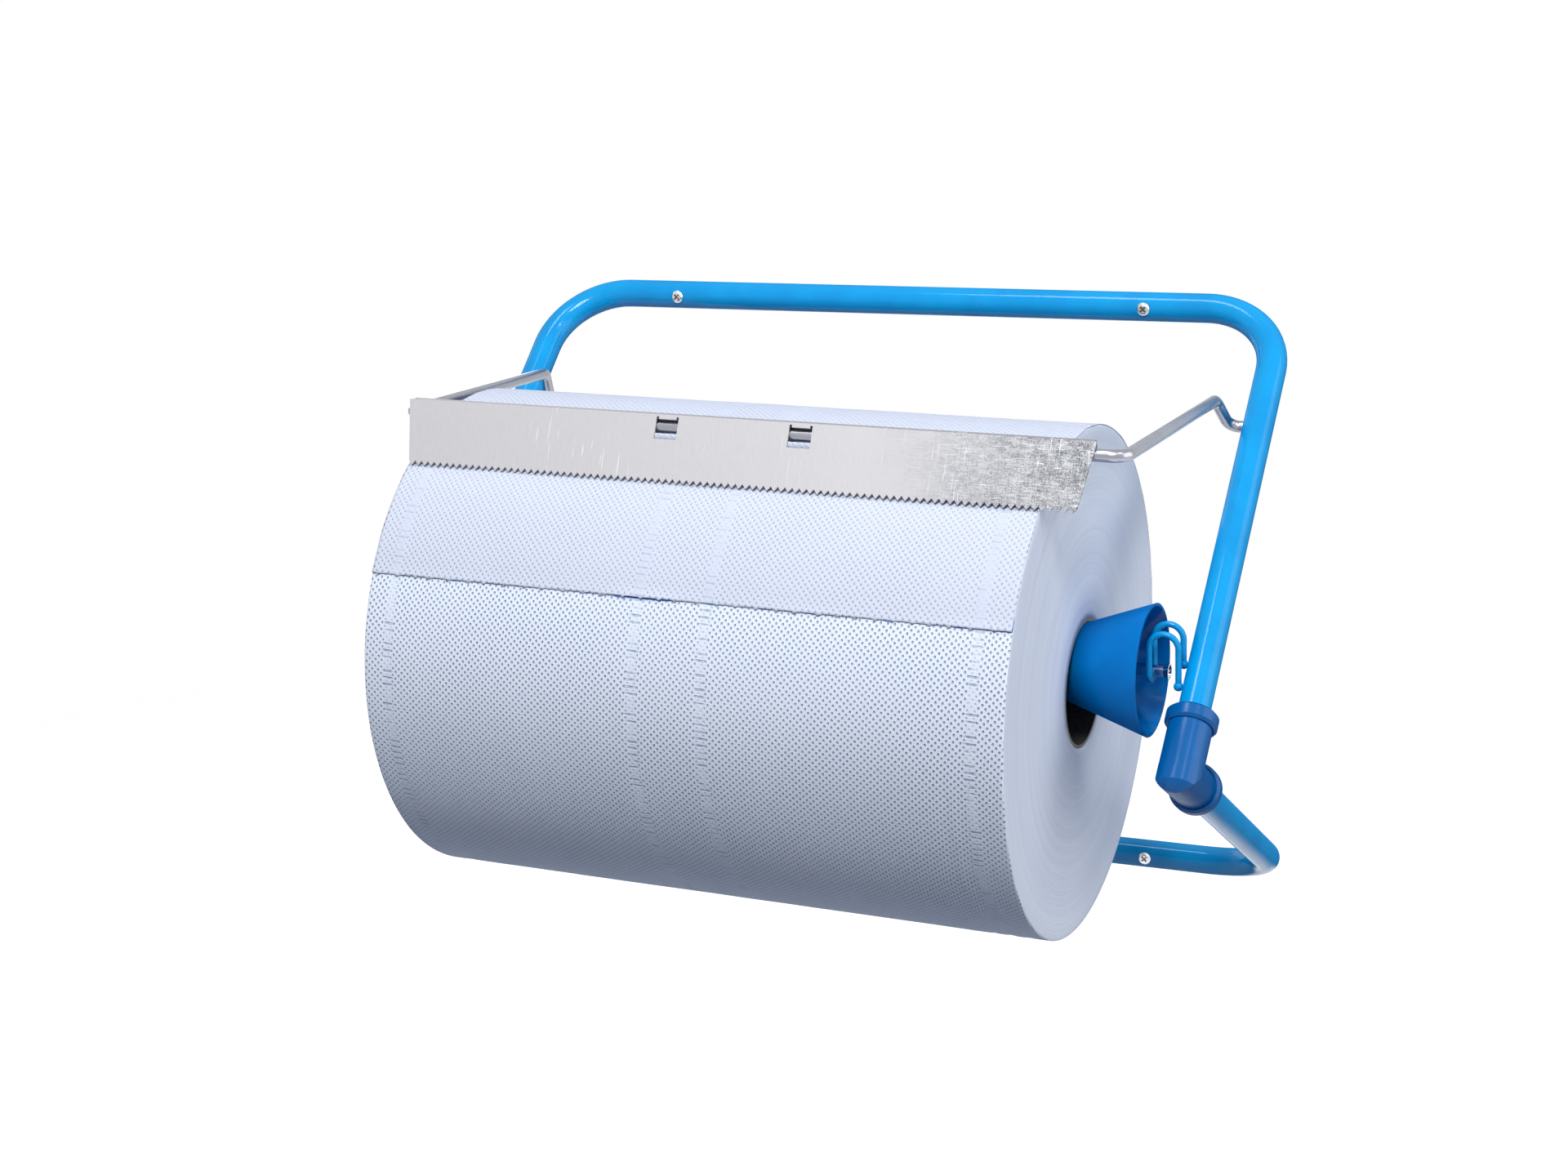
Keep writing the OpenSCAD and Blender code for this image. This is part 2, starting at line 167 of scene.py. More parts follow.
bluePaint = {
    "body": linear(6, 155, 222),
    "shade": linear(4, 146, 214),
    "dust": linear(120, 185, 235),
    "cloudScale": 38.0,
    "cloudWindow": (0.35, 0.7),
    "dustScale": 2600.0,
    "dustWindow": (0.68, 0.78),
    "dustShare": 0.12,
    "peelScale": 900.0,             # orange peel
    "peelDepth": 0.00003,
    "peelStrength": 0.12,
    "matte": 0.5,                   # roughness under the coat
    "roughness": 0.12,              # of the coat
    "gloss": 0.4,
    "under": 0.8,
}


def paintFinish():
    look = bluePaint
    material, f = newFinish("bluePaint")
    spot = f.place()
    cloud = f.speckle(spot, look["cloudScale"], detail=4.0)
    peel = f.speckle(spot, look["peelScale"], detail=2.0)
    dust = f.ease(f.speckle(spot, look["dustScale"], detail=1.0), *look["dustWindow"])
    tone = f.tint(f.ease(cloud, *look["cloudWindow"]), look["body"], look["shade"])
    f.surface({
        "Base Color": f.tint(dust * look["dustShare"], tone, look["dust"]),
        "Roughness": look["matte"] + 0.1 * cloud,
        "Specular IOR Level": 0.0,
        "Coat Weight": f.gloss(look["gloss"], look["under"]) * (1 - 0.5 * dust),
        "Coat Roughness": look["roughness"],
        "Normal": f.bump(peel, look["peelDepth"], look["peelStrength"]),
    })
    return material


# moulded elbows and cones

elbowPlastic = {
    "body": linear(0, 90, 158),
    "worn": linear(8, 106, 176),
    "cloudScale": 60.0,
    "cloudWindow": (0.5, 0.8),
    "cloudShare": 0.6,
    "scuffScale": (500, 90, 90),
    "scuffWindow": (0.66, 0.74),
    "scuffShare": 0.3,
    "grainScale": 1500.0,
    "grainDepth": 0.00005,
    "grainStrength": 0.5,
    "matte": 0.5,
    "roughness": 0.24,
    "gloss": 0.62,
    "under": 0.4,
}

conePlastic = {
    "body": linear(0, 115, 191),
    "shade": linear(0, 107, 182),
    "parting": linear(30, 140, 215),
    "axle": tuple(joints["axle_spin"]["pos_m"]),
    "cloudScale": 45.0,
    "cloudWindow": (0.35, 0.7),
    "flowScale": (20, 260, 260),    # streaks along the cone
    "flowWindow": (0.4, 0.7),
    "partingWidth": 0.00035,
    "partingFade": 2.5,             # widths at which the parting line is gone
    "partingShare": 0.35,
    "reliefDepth": 0.00012,
    "reliefStrength": 0.6,
    "matte": 0.45,
    "roughness": 0.14,
    "gloss": 0.25,
}


def elbowFinish():
    look = elbowPlastic
    material, f = newFinish("elbowPlastic")
    spot = f.place()
    cloud = f.speckle(spot, look["cloudScale"], detail=4.0, rough=0.6)
    grain = f.speckle(spot, look["grainScale"], detail=3.0, rough=0.6)
    scuff = f.ease(f.streaks(spot, look["scuffScale"], detail=2.0), *look["scuffWindow"])
    wear = f.ease(cloud, *look["cloudWindow"]) * look["cloudShare"] + scuff * look["scuffShare"]
    f.surface({
        "Base Color": f.tint(wear, look["body"], look["worn"]),
        "Roughness": look["matte"] + 0.12 * cloud - 0.08 * scuff,
        "Specular IOR Level": 0.0,
        "Coat Weight": f.gloss(look["gloss"], look["under"]) * (1 - 0.4 * cloud),
        "Coat Roughness": look["roughness"],
        "Normal": f.bump(grain, look["grainDepth"], look["grainStrength"]),
    })
    return material


def coneFinish():
    look = conePlastic
    material, f = newFinish("conePlastic")
    spot = f.turned(f.place(), move=tuple(-c for c in look["axle"]))
    cloud = f.speckle(spot, look["cloudScale"], detail=4.0)
    flow = f.streaks(spot, look["flowScale"], detail=3.0, rough=0.6)
    width = look["partingWidth"]
    seam = 1 - f.ease(abs(f.part(spot, "Y")), width, look["partingFade"] * width)
    tone = f.tint(f.ease(cloud, *look["cloudWindow"]), look["body"], look["shade"])
    f.surface({
        "Base Color": f.tint(seam * look["partingShare"], tone, look["parting"]),
        "Roughness": look["matte"] + 0.14 * f.ease(flow, *look["flowWindow"]),
        "Specular IOR Level": 0.0,
        "Coat Weight": f.gloss(look["gloss"]),
        "Coat Roughness": look["roughness"],
        "Normal": f.bump(flow * 0.25 + seam, look["reliefDepth"], look["reliefStrength"]),
    })
    return material


# bare metals

bareMetal = {
    "cloudScale": 30.0,
    "wearWindow": (0.36, 0.68),
    "wearRough": 0.2,
    "reliefDepth": 0.000006,
    "reliefStrength": 0.2,
}

axleSteel = {
    "body": linear(222, 225, 230),
    "dull": linear(150, 154, 162),
    "roughness": 0.12,
    "uneven": 0.25,
    "streakScale": (14, 900, 900),
}

rodSteel = {
    "body": linear(160, 162, 171),
    "dull": linear(112, 115, 126),
    "roughness": 0.24,
    "uneven": 0.2,
    "streakScale": (25, 900, 900),
}

screwZinc = {
    "body": linear(214, 215, 216),
    "dull": linear(170, 171, 173),
    # painted shade for the cross recess
    "recessShade": linear(58, 58, 60),
    "recessShadeShare": 0.8,
    "roughness": 0.24,
    "uneven": 0.6,
    "streakScale": (300, 300, 300),
    "across": 0.158,                # screw places, either side of the middle
    "up": 0.180,
    "recessReach": 0.0023,
    "recessDepth": (-0.0192, -0.0186),
}

galvanised = {
    "matte": linear(191, 190, 193),
    "dark": linear(32, 36, 44),
    "light": linear(196, 198, 203),
    # painted shade on the upward-facing top of the fold
    "fold": linear(140, 141, 145),
    "bare": linear(250, 250, 252),  # in the scratches
    "fineScale": 1300.0,
    "brushedScale": (2600, 130, 190),
    "brushedWindow": (0.4, 0.7),
    "crossedScale": (150, 900, 2400),
    "blotchScale": 150.0,
    "cloudScale": 26.0,
    "grainWindow": (0.38, 0.62),
    "strongWindow": (0.07, 0.2),    # x at which the zinc grain starts to stand out and is at its full
    "strongShare": 0.95,
    "scratchBand": (-0.125, -0.02),
    "bandFade": (0.01, 0.02),
    "uprightScale": (900, 30, 45),
    "uprightTurn": (0, 0.03, 0),
    "slantedScale": (90, 90, 1500),
    "slantedTurn": (0, 0.4, 0),
    "scratchWindow": (0.66, 0.72),
    "scratchCloud": (0.42, 0.6),
    "foldWindow": (0.86, 0.97),     # upward part of the normal
    "foldShare": 0.85,
    "metallic": (0.3, 0.45),
    "roughness": 0.54,
    "reliefDepth": 0.00004,
    "reliefStrength": 0.3,
}


def metalFinish(name, look):
    material, f = newFinish(name)
    spot = f.place()
    lines = f.streaks(spot, look["streakScale"], detail=2.0, rough=0.6)
    cloud = f.speckle(spot, bareMetal["cloudScale"], detail=3.0, rough=0.6)
    wear = f.ease(0.5 * lines + 0.5 * cloud, *bareMetal["wearWindow"]) * look["uneven"]
    tone = f.tint(wear, look["body"], look["dull"])
    if "recessReach" in look:  # painted shade in the cross recess
        x, y, z = (f.part(spot, axis) for axis in "XYZ")
        dx, dz = abs(x) - look["across"], abs(z) - look["up"]
        squared = dx * dx + dz * dz
        inner = squared.maths("LESS_THAN", squared, look["recessReach"] ** 2)
        tone = f.tint(inner * f.ease(y, *look["recessDepth"]) * look["recessShadeShare"], tone, look["recessShade"])
    f.surface({
        "Base Color": tone,
        "Metallic": 1.0,
        "Roughness": look["roughness"] + bareMetal["wearRough"] * wear,
        "Normal": f.bump(lines, bareMetal["reliefDepth"], bareMetal["reliefStrength"]),
    })
    return material


def galvanisedFinish():
    look = galvanised
    material, f = newFinish("galvanisedSheet")
    spot = f.place()
    across = f.part(spot, "X")
    fine = f.speckle(spot, look["fineScale"], detail=3.0, rough=0.75)
    brushed = f.streaks(spot, look["brushedScale"], detail=2.0, rough=0.6)
    crossed = f.streaks(spot, look["crossedScale"], detail=2.0, rough=0.6)
    blotch = f.speckle(spot, look["blotchScale"], detail=4.0, rough=0.65)
    cloud = f.speckle(spot, look["cloudScale"], detail=4.0, rough=0.6)
    strong = f.ease(across + 0.08 * (cloud - 0.5) + 0.02 * (blotch - 0.5), *look["strongWindow"])
    grain = f.ease(0.4 * fine + 0.2 * brushed + 0.2 * crossed + 0.2 * blotch, *look["grainWindow"])
    low, high = look["scratchBand"]
    fadeIn, fadeOut = look["bandFade"]
    band = f.ease(across, low, low + fadeIn) * f.ease(across, high - fadeOut, high, 1.0, 0.0)
    upright, slanted = (
        f.ease(f.streaks(spot, look[way + "Scale"], detail=1.0, turn=look[way + "Turn"]),
               *look["scratchWindow"])
        for way in ("upright", "slanted"))
    scratch = upright * (0.25 + 0.5 * band + 0.5 * strong) * f.ease(cloud, *look["scratchCloud"])
    scratch = scratch + slanted * strong * 0.5
    spangle = f.tint(grain, look["dark"], look["light"])
    tone = f.tint(strong * look["strongShare"], look["matte"], spangle)
    tone = f.tint(f.ease(brushed, *look["brushedWindow"]) * (0.06 + 0.1 * strong), tone, look["dark"])
    # painted shade: the upward-facing top of the fold is darker
    tone = f.tint(f.ease(f.normal("Z"), *look["foldWindow"]) * look["foldShare"], tone, look["fold"])
    f.surface({
        "Base Color": f.tint(scratch.maths("MINIMUM", scratch * 0.75, 0.8), tone, look["bare"]),
        "Metallic": f.ease(strong, 0.0, 1.0, *look["metallic"]),
        "Roughness": look["roughness"] - 0.08 * strong * grain + 0.1 * cloud,
        "Normal": f.bump(grain * strong + 0.2 * fine + 0.3 * scratch, look["reliefDepth"],
                         look["reliefStrength"]),
    })
    return material


# paper and board

paper = {
    "body": linear(229, 238, 253),
    # painted shade for the front of the outer sheet, darker than the roll
    "outer": linear(208, 215, 232),
    # painted shade in the pressed dimples
    "dimpleShade": linear(140, 160, 208),
    "slit": linear(150, 164, 198),
    "gap": linear(112, 158, 236),
    "fibre": linear(246, 250, 255),
    "turnLength": 0.911,            # once round the roll
    "across": (258.5, -15),         # emboss waves per metre along the roll and per turn: columns, then rows
    "along": (9.5, 234),
    "overtone": 0.3,                # of the columns
    "dotWindow": (0.3, 1.15),
    "columns": (-0.022, 0.019, 0.172, -0.175),  # where the embossing is pressed flat
    "columnWidth": 0.003,
    "columnEdge": (0.4, 1.5),       # widths at which a column is at its full, and gone
    "dashWindow": (0.0, 0.8),
    "driftScale": 22.0,
    "swirlScale": 330.0,
    "fadeScale": 9.0,
    "fadeWindow": (0.3, 0.7),
    "fadeLeast": 0.75,
    "brokenScale": (60, 140, 1),
    "brokenWindow": (0.42, 0.62),
    "fibreScale": 3200.0,
    "fibreWindow": (0.45, 0.75),
    "fibreShare": 0.12,
    "depth": 0.001,
    "crisp": 0.75,                  # how much of the embossing and of its painted dimple shade is left
    "looseCrisp": 0.2,
    "pulledAndShadedTurns": (0.33, 0.48),
    "tearTurn": math.radians(27.4),
    "bulgeAt": -0.018,              # where the torn edge stands off the roll most
    "bulgeSpan": (0.008, 0.022),
    "bulgeGap": 0.0008,
    "raggedScale": (70, 0, 0),
    "raggedWindow": (0.5, 0.72),
    "gapWidth": (0.0003, 0.0011),   # of the shade before the torn edge, least and most
    "gapEdge": 0.0003,              # its softness
    "gapEnd": (0.006, 0.009),       # where it runs out, under the sheet
    "roughness": 0.86,
    "specular": 0.1,
}


def gapShade(f, flat, u, v):  # under the lifted edge of the outer sheet
    back = (v - paper["tearTurn"] / tau) * paper["turnLength"]
    ragged = f.streaks(flat, paper["raggedScale"], detail=2.0)
    gap = f.ease(ragged, *paper["raggedWindow"], *paper["gapWidth"])
    gap = gap + f.ease(abs(u - paper["bulgeAt"]), *paper["bulgeSpan"], paper["bulgeGap"], 0.0)
    return f.ease(back + gap, 0.0, paper["gapEdge"]) * f.ease(back, *paper["gapEnd"], 1.0, 0.0)


def paperFinish(name, loose):
    material, f = newFinish(name)
    flat = f.place("UV")  # u in metres along the roll, v in turns
    u, v = f.part(flat, "X"), f.part(flat, "Y")
    body, crisp = paper["body"], paper["crisp"]
    if loose:  # near the torn edge the embossing is smoothed out by the pull and a painted shade makes the sheet darker than the roll; further round it is like the roll again
        pulledAndShaded = f.ease(v.maths("FRACT", v), *paper["pulledAndShadedTurns"], 1.0, 0.0)
        # painted shade: the front of the sheet is darker than the roll
        body = f.tint(pulledAndShaded, paper["body"], paper["outer"])
        crisp = paper["crisp"] - (paper["crisp"] - paper["looseCrisp"]) * pulledAndShaded
    metres = f.turned(flat, scale=(1, paper["turnLength"], 1))
    drift = f.speckle(metres, paper["driftScale"], detail=2.0) - 0.5
    swirl = f.speckle(metres, paper["swirlScale"], detail=3.0, rough=0.6)
    across, along = (tau * (paper[way][0] * u + paper[way][1] * v + 0.3 * drift)
                     for way in ("across", "along"))
    rungs = along.maths("COSINE", along)
    overtone = paper["overtone"] * across.maths("COSINE", 2 * across)
    lattice = across.maths("COSINE", across) * rungs + overtone
    dots = f.ease(lattice + 0.4 * (swirl - 0.5), *paper["dotWindow"])
    fade = f.ease(f.speckle(metres, paper["fadeScale"], detail=2.0), *paper["fadeWindow"],
                  start=paper["fadeLeast"])
    column = 0.0
    inner, outer = (paper["columnWidth"] * edge for edge in paper["columnEdge"])
    for place in paper["columns"]:
        near = abs(u - place + 0.003 * drift + 0.002 * (swirl - 0.5))
        column = f.ease(near, inner, outer, 1.0, 0.0) + column
    broken = f.ease(f.streaks(metres, paper["brokenScale"], detail=3.0, rough=0.6), *paper["brokenWindow"])
    fibre = f.speckle(metres, paper["fibreScale"], detail=3.0, rough=0.7)
    pressed = dots * fade * (1 - 0.75 * column)
    dash = column * broken * f.ease(rungs + 0.8 * (swirl - 0.5), *paper["dashWindow"])
    # painted shade: the pressed dimples are darker and bluer, as far as the embossing is crisp
    tone = f.tint(pressed * crisp, body, paper["dimpleShade"])
    tone = f.tint(dash * (0.1 + 0.6 * crisp) + column * 0.05, tone, paper["slit"])
    if not loose:
        tone = f.tint(gapShade(f, flat, u, v), tone, paper["gap"])
    relief = 0.03 * fibre + 0.04 * swirl - pressed - 0.4 * dash - 0.1 * column
    fuzz = f.ease(fibre, *paper["fibreWindow"]) * paper["fibreShare"]
    f.surface({
        "Base Color": f.tint(fuzz, tone, paper["fibre"]),
        "Roughness": paper["roughness"] + 0.1 * swirl,
        "Specular IOR Level": paper["specular"],
        "Normal": f.bump(relief, paper["depth"] * (0.4 + 0.6 * crisp)),
    })
    return material


paperEnd = {
    "body": linear(222, 231, 248),
    "light": linear(236, 242, 253),
    "dark": linear(212, 222, 243),
    "fuzz": linear(240, 245, 255),
    "wobbleScale": (60, 9, 1),      # per metre of radius, per turn
    "wobble": 1.2,                  # in rings
    "rings": 2600,                  # per metre of radius
    "ringParts": 3.0,               # per turn
    "fineWindow": (0.3, 0.75),
    "wideScale": (0.07, 0.3, 1),    # against the fine rings
    "wideWindow": (0.35, 0.65),
    "wideShare": 0.35,
    "fuzzScale": 1800.0,
    "fuzzWindow": (0.5, 0.75),
    "fuzzShare": 0.2,
    "roughness": 0.88,
    "reliefDepth": 0.00035,
    "reliefStrength": 0.8,
}


def paperEndFinish():
    look = paperEnd
    material, f = newFinish("woundPaperEnd")
    flat = f.place("UV")  # u is the radius in metres, v the turn
    radius, turn = f.part(flat, "X"), f.part(flat, "Y")
    wobble = f.streaks(flat, look["wobbleScale"], detail=3.0) - 0.5
    ring = f.node("ShaderNodeCombineXYZ", {}, {
        0: radius * look["rings"] + look["wobble"] * wobble, 1: turn * look["ringParts"]})
    fine = f.speckle(ring, 1.0, detail=2.0, rough=0.7)
    wide = f.streaks(ring, look["wideScale"], detail=3.0, rough=0.6)
    fuzz = f.speckle(f.place(), look["fuzzScale"], detail=3.0, rough=0.7)
    tone = f.tint(f.ease(fine, *look["fineWindow"]), look["body"], look["light"])
    tone = f.tint(f.ease(wide, *look["wideWindow"]) * look["wideShare"], tone, look["dark"])
    relief = 0.6 * fine + 0.5 * wide + 0.25 * fuzz
    f.surface({
        "Base Color": f.tint(f.ease(fuzz, *look["fuzzWindow"]) * look["fuzzShare"], tone, look["fuzz"]),
        "Roughness": look["roughness"] + 0.1 * fuzz,
        "Specular IOR Level": paper["specular"],
        "Normal": f.bump(relief, look["reliefDepth"], look["reliefStrength"]),
    })
    return material


coreBoard = {
    "body": linear(168, 162, 150),
    "dark": linear(128, 121, 112),
    # painted shade for the inside of the bore
    "inside": linear(58, 56, 58),
    "fibreScale": (500, 1400, 1400),
    "cloudScale": 70.0,
    "cutWindow": (0.35, 0.7),
    "boreWindow": (0.3, 0.8),
    "boreShare": 0.3,
    "rimWindow": (0.6, 0.9),        # sideways part of the normal
    "roughness": 0.82,
    "specular": 0.15,
    "reliefDepth": 0.0002,
    "reliefStrength": 0.6,
}


def coreFinish():
    look = coreBoard
    material, f = newFinish("coreBoard")
    spot = f.place()
    fibre = f.streaks(spot, look["fibreScale"], detail=4.0, rough=0.65)
    cloud = f.speckle(spot, look["cloudScale"], detail=3.0)
    cut = f.tint(f.ease(0.6 * fibre + 0.4 * cloud, *look["cutWindow"]), look["body"], look["dark"])
    # painted shade: the inside of the bore is near black
    bore = f.tint(f.ease(fibre, *look["boreWindow"]) * look["boreShare"], look["inside"], look["dark"])
    f.surface({
        "Base Color": f.tint(f.ease(abs(f.normal("X")), *look["rimWindow"]), bore, cut),
        "Roughness": look["roughness"] + 0.12 * fibre,
        "Specular IOR Level": look["specular"],
        "Normal": f.bump(fibre, look["reliefDepth"], look["reliefStrength"]),
    })
    return material


dressed = (
    (paintFinish(), ("upper_frame", "lower_frame", "left_axle_hook", "right_axle_hook")),
    (elbowFinish(), ("left_elbow", "right_elbow")),
    (coneFinish(), ("left_cone", "right_cone")),
    (metalFinish("screwZinc", screwZinc),
     ("top_left_screw", "top_right_screw", "bottom_left_screw", "bottom_right_screw")),
    (metalFinish("axleSteel", axleSteel), ("axle_tube",)),
    (metalFinish("rodSteel", rodSteel), ("tear_bar_rod",)),
    (galvanisedFinish(), ("tear_blade",)),
    (coreFinish(), ("cardboard_core",)),
)
for material, names in dressed:
    for name in names:
        dress(name, material)
wipePaper = paperFinish("wipePaper", False)
looseSheet = paperFinish("looseSheet", True)
woundEnd = paperEndFinish()
print("finishes on", sum(len(names) for material, names in dressed), "nodes")


# the roll, modelled about its own axis along X, its front at angle 0 and its crown at 90 degrees

rollSpin = joints["roll_spin"]
rollAxis = Vector(rollSpin["axis"])
rollAxis = rollAxis if rollAxis.x > 0 else -rollAxis
rollLean = Matrix.Rotation(-math.atan2(rollAxis.z, rollAxis.x), 4, "Y")
rollPlace = Matrix.Translation(rollSpin["pos_m"]) @ rollLean

roll = {
    "length": 0.380,
    "radius": 0.1449,
    "bore": 0.03706,
    "edgeRound": 0.0009,
    "edgeSegments": 3,
    "steps": 240,
    "lengthCuts": 139,
    "faceCuts": 26,
    "endFacing": 0.8,               # sideways part of the normal on the end faces
    "skin": 0.003,                  # depth to which the winding is uneven
    "waver": 0.00022,               # unevenness of the winding
    "waves": ((16, 0, 1.7, 0.8), (70, 9, 4.0, 0.4)),  # per metre, start, circle in the noise, share
    "creases": ((0.1575, 0.0022, 0.0005), (0.1665, 0.0026, 0.0006), (0.1775, 0.002, 0.00035),
                (-0.1785, 0.003, 0.0003)),            # place, width and depth of pulled-in rings
    "creaseTurn": -0.7,             # low on the front, in radians
    "telescope": 0.0004,            # unevenness of the end faces
    "telescopeSkin": 0.002,
    "telescopeWaves": (160, 3, 0.6),                  # per metre of radius, start, swing round
}


def polar(co):  # radius and turn of a point about X
    return math.hypot(co.y, co.z), math.atan2(co.z, -co.y)


def spotAt(x, radius, turn):
    return Vector((x, -radius * math.cos(turn), radius * math.sin(turn)))


def unroll(bm, endIndex=None):  # u in metres along the roll, v in turns; u is the radius on the end faces
    layer = bm.loops.layers.uv.new("unrolled")
    for face in bm.faces:
        middle = polar(face.calc_center_median())[1]
        for loop in face.loops:
            radius, turn = polar(loop.vert.co)
            while turn - middle > math.pi:
                turn -= tau
            while turn - middle < -math.pi:
                turn += tau
            onEnd = endIndex is not None and face.material_index == endIndex
            loop[layer].uv = (radius if onEnd else loop.vert.co.x, turn / tau)


def crease(x, turn):
    low = max(0.0, math.cos(turn - roll["creaseTurn"])) ** 2
    return low * sum(depth * math.exp(-((x - ring) / width) ** 2) for ring, width, depth in roll["creases"])


def waver(x, turn):
    total = sum(share * noise.noise((x * along + start, around * math.cos(turn), around * math.sin(turn)))
                for along, start, around, share in roll["waves"])
    return roll["waver"] * total - crease(x, turn)


def finishPiece(bm, name, materials, place):
    bm.transform(place)
    mesh = bpy.data.meshes.new(name)
    bm.to_mesh(mesh)
    bm.free()
    piece = bpy.data.objects.new(name, mesh)
    scene.collection.objects.link(piece)
    for material in materials:
        mesh.materials.append(material)
    for polygon in mesh.polygons:
        polygon.use_smooth = True
    return piece


def onRim(edge, half):
    return all(abs(abs(vert.co.x) - half) < hair and abs(polar(vert.co)[0] - roll["radius"]) < hair
               for vert in edge.verts)


def makeRoll():
    half = roll["length"] / 2
    bm = bmesh.new()
    corners = [bm.verts.new(spotAt(x, radius, 0.0)) for x, radius in (
        (-half, roll["bore"]), (-half, roll["radius"]), (half, roll["radius"]), (half, roll["bore"]))]
    sides = [bm.edges.new((corners[i], corners[(i + 1) % 4])) for i in range(4)]
    bmesh.ops.subdivide_edges(bm, edges=[sides[1]], cuts=roll["lengthCuts"])
    bmesh.ops.subdivide_edges(bm, edges=[sides[0], sides[2]], cuts=roll["faceCuts"])
    bmesh.ops.spin(bm, geom=bm.verts[:] + bm.edges[:], cent=(0, 0, 0), axis=(1, 0, 0), angle=tau,
                   steps=roll["steps"], use_merge=True)
    bmesh.ops.remove_doubles(bm, verts=bm.verts, dist=hair)
    bmesh.ops.recalc_face_normals(bm, faces=bm.faces)
    rims = [edge for edge in bm.edges if onRim(edge, half)]
    bmesh.ops.bevel(bm, geom=rims, offset=roll["edgeRound"], segments=roll["edgeSegments"], profile=0.5,
                    affect="EDGES", material=-1)
    endIndex = 1  # woundEnd comes second on the piece
    for face in bm.faces:
        face.material_index = endIndex if abs(face.normal.x) > roll["endFacing"] else 0
    outward, start, swing = roll["telescopeWaves"]
    for vert in bm.verts:
        radius, turn = polar(vert.co)
        x = vert.co.x
        if radius > roll["radius"] - roll["skin"]:
            radius += waver(x, turn)
        if abs(x) > half - roll["telescopeSkin"]:
            x += roll["telescope"] * noise.noise((radius * outward, start + x, swing * math.cos(turn)))
        vert.co = spotAt(x, radius, turn)
    unroll(bm, endIndex)
    return finishPiece(bm, "woundRoll", (wipePaper, woundEnd), rollPlace)


sheet = {
    "tearTurn": paper["tearTurn"],
    "endTurn": math.radians(200.0),
    "fineTurn": math.radians(7.0),  # closer rows behind the torn edge
    "fineSteps": 14,
    "steps": 82,
    "cuts": 279,
    "inset": 0.0002,                # short of each end of the roll
    "rise": 0.00022,                # underside over the roll
    "thick": 0.0002,
    "sink": math.radians(22.0),     # the far end dips under the roll's skin
    "sinkRises": 3.2,               # depth of the dip, in rises
    "liftWidth": 0.0075,
    "lift": (0.0001, 0.0011),       # least and most of the torn edge
    "liftShare": 0.25,
    "liftUneven": 0.35,
    "liftWaves": 21,                # per metre
    "bulgeShare": 0.9,
    "bulgeWidth": 0.016,
    "cornerShare": 0.5,             # more lift near the right end
    "cornerFrom": 0.15,
    "cornerWidth": 0.04,
    "fray": 0.00016,
    "frayWaves": 0.9,               # per point of the edge
    "tabReach": (0.0007, 0.0016),
    "firstTab": 3,                  # its point of the edge
    "tabGap": (5, 13),              # points of the edge from one tab to the next
    "wideTab": 0.55,                # share of its reach from which a tab is two points wide
    "wideReach": 0.8,               # of the least reach, at its second point
    "sideWaver": 0.0003,
    "sideWaves": (12, 30),          # per radian, per metre
    "edgeBand": 1e-5,               # points this near an edge belong to it
}


def tornEdge(count):  # how far each point of the edge stands out
    reach = [sheet["fray"] * noise.noise((i * sheet["frayWaves"], 5.0, 0.0)) for i in range(count)]
    spot, tab = sheet["firstTab"], 0
    near, far = sheet["tabGap"]
    least, most = sheet["tabReach"]
    while spot < count - 2:
        share = 0.5 + 0.5 * noise.noise((tab * 3.7, 11.0, 2.0))
        reach[spot] += least + share * (most - least)
        if share > sheet["wideTab"]:
            reach[spot + 1] += sheet["wideReach"] * least
        spot += int(near + (far - near) * (0.5 + 0.5 * noise.noise((tab * 5.3, 1.0, 7.0))))
        tab += 1
    return reach


def edgeLift(x):  # how far the torn edge stands off the roll
    share = sheet["liftShare"] + sheet["liftUneven"] * noise.noise((x * sheet["liftWaves"], 4.0, 1.0))
    share += sheet["bulgeShare"] * math.exp(-((x - paper["bulgeAt"]) / sheet["bulgeWidth"]) ** 2)
    share += sheet["cornerShare"] * max(0.0, x - sheet["cornerFrom"]) / sheet["cornerWidth"]
    least, most = sheet["lift"]
    return least + min(1.0, max(0.0, share)) * (most - least)


